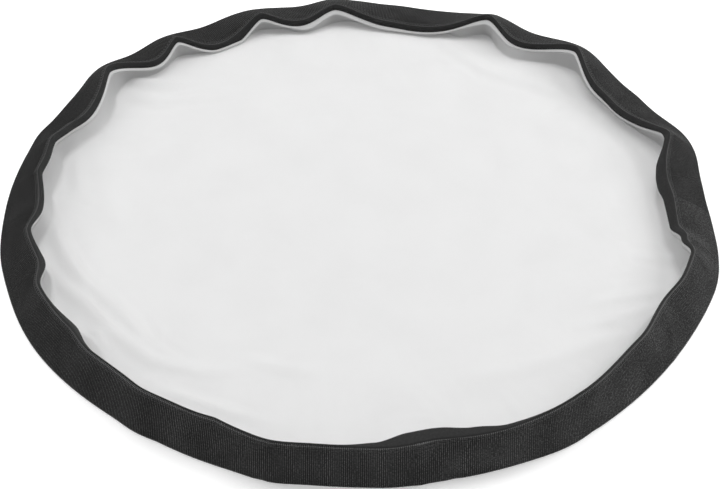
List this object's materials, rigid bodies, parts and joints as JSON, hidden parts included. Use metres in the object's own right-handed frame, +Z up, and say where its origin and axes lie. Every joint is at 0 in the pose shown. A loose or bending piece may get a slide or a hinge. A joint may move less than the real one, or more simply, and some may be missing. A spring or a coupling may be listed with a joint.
{
  "type": "round slip-on diffuser cover",
  "caption": "Round slip-on diffuser cover: white translucent cloth disc in a wide black ribbed elastic band, lying loose with the band standing up and leaning inwards.",
  "frame": {"origin": "centre of the outline at the floor plane, under the middle of the cloth disc", "axes": "+Z up out of the floor that the cover lies on, with the open side of the dish up; -Y towards the stretch of band that stands upright"},
  "size_m": [0.7468, 0.7538, 0.051],
  "materials": {
    "white_diffusion_cloth": "plain fine woven translucent nylon, matte",
    "white_doubled_cloth": "the same cloth folded double, matte and less translucent",
    "black_ribbed_elastic": "woven elastic with cross ribs, matte with a weak sheen",
    "black_facing_tape": "smooth fine woven tape, satin-matte",
    "black_thread": "spun polyester sewing thread",
    "white_thread": "spun polyester sewing thread"
  },
  "bodies": {
    "root": {"diffusion_cloth": "white_diffusion_cloth", "cloth_hem": "white_doubled_cloth", "facing_tape": "black_facing_tape", "elastic_band": "black_ribbed_elastic", "band_joint_lap": "black_ribbed_elastic", "ridge_stitching": "black_thread", "hem_stitching": "white_thread", "joint_box_stitch": "black_thread"}
  },
  "joints": []
}
